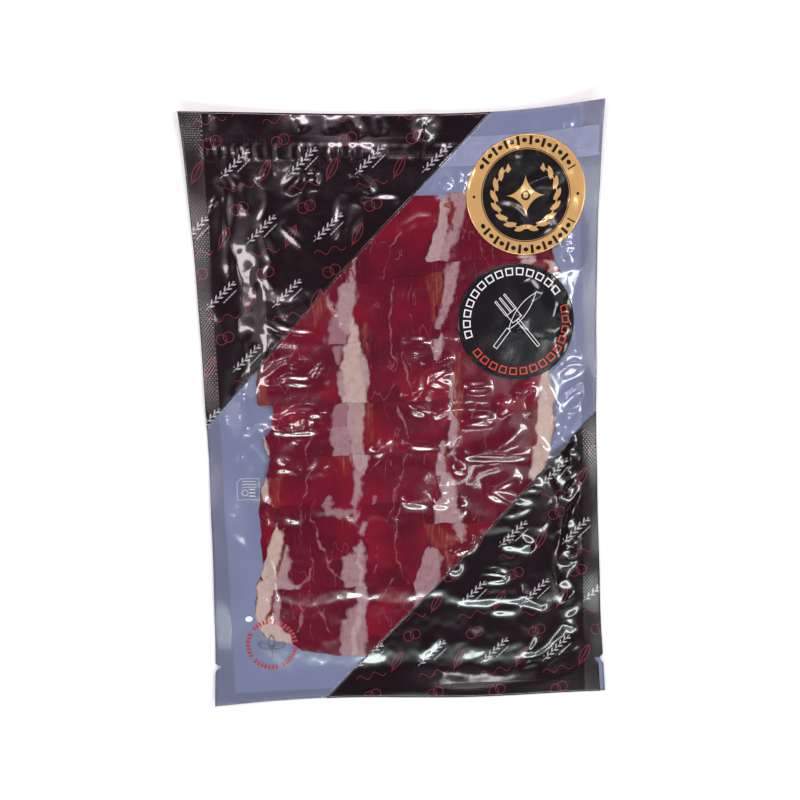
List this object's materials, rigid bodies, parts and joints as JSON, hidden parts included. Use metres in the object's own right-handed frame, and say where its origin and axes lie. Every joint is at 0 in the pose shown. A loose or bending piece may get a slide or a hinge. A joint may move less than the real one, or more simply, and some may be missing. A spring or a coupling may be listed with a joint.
{
  "type": "pack of sliced iberian ham",
  "caption": "Flat vacuum-sealed pouch of hand-cut cured ham slices, with a clear diagonal window, press-to-close top, crosshatched seals and round labels.",
  "frame": {"origin": "centre of the pouch's outline on the surface it lies on", "axes": "+Y towards the press-to-close end, +X to the right as seen from the front, +Z out of the front film"},
  "size_m": [0.175, 0.258, 0.008],
  "materials": {
    "printed_film": "glossy black print on thin film, with wrinkles",
    "gold_label": "satin gold print on a round self-adhesive label",
    "black_label": "satin black round self-adhesive label with thin white and red print",
    "clear_film": "clear vacuum film drawn tight over the contents",
    "back_film": "satin grey-blue opaque film",
    "sliced_ham": "moist deep red cured meat with pale fat"
  },
  "bodies": {
    "root": {"pouch": "printed_film", "gold_label": "gold_label", "black_label": "black_label"}
  },
  "joints": []
}
